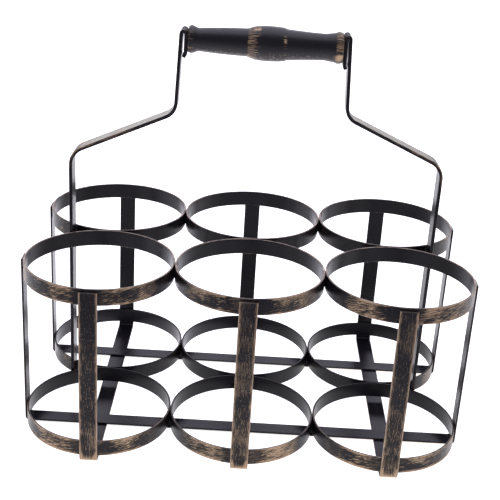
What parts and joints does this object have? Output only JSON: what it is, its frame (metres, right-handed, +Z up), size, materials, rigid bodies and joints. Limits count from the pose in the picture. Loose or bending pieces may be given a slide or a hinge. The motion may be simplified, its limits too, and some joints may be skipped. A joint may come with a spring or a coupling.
{
  "type": "bottle caddy",
  "caption": "Open bottle caddy of painted flat iron: rows of rolled rings tied by U-shaped straps, with a bent bail handle and a turned wooden grip that spins on its rod.",
  "frame": {"origin": "on the ground, under the middle of the rack", "axes": "+X along the rows to the right as seen from the front, +Y from the front row to the back row, +Z up"},
  "size_m": [0.2816, 0.1886, 0.2569],
  "materials": {
    "painted_iron": "satin black paint, dry-brushed with gold on the outer faces and worn pale at the edges",
    "painted_wood": "gloss black paint over turned wood, worn to tan at the shoulders and collars",
    "rod_steel": "plain drawn steel"
  },
  "bodies": {
    "rack": {"top_ring_front_left": "painted_iron", "top_ring_front_middle": "painted_iron", "top_ring_front_right": "painted_iron", "top_ring_back_left": "painted_iron", "top_ring_back_middle": "painted_iron", "top_ring_back_right": "painted_iron", "bottom_ring_front_left": "painted_iron", "bottom_ring_front_middle": "painted_iron", "bottom_ring_front_right": "painted_iron", "bottom_ring_back_left": "painted_iron", "bottom_ring_back_middle": "painted_iron", "bottom_ring_back_right": "painted_iron", "column_strap_left": "painted_iron", "column_strap_middle": "painted_iron", "column_strap_right": "painted_iron", "row_strap_front": "painted_iron", "row_strap_back": "painted_iron", "handle_leg_right": "painted_iron", "handle_leg_left": "painted_iron", "top_ring_welds": "painted_iron", "bottom_ring_welds": "painted_iron", "column_strap_welds": "painted_iron", "row_strap_welds": "painted_iron", "leg_welds": "painted_iron", "grip_rod": "rod_steel"},
    "grip": {"grip": "painted_wood"}
  },
  "joints": [
    {"name": "grip_spin", "type": "hinge", "parent": "rack", "child": "grip", "pos_m": [0.0014, 0, 0.24625], "axis": [1, 0, 0], "continuous": true}
  ]
}
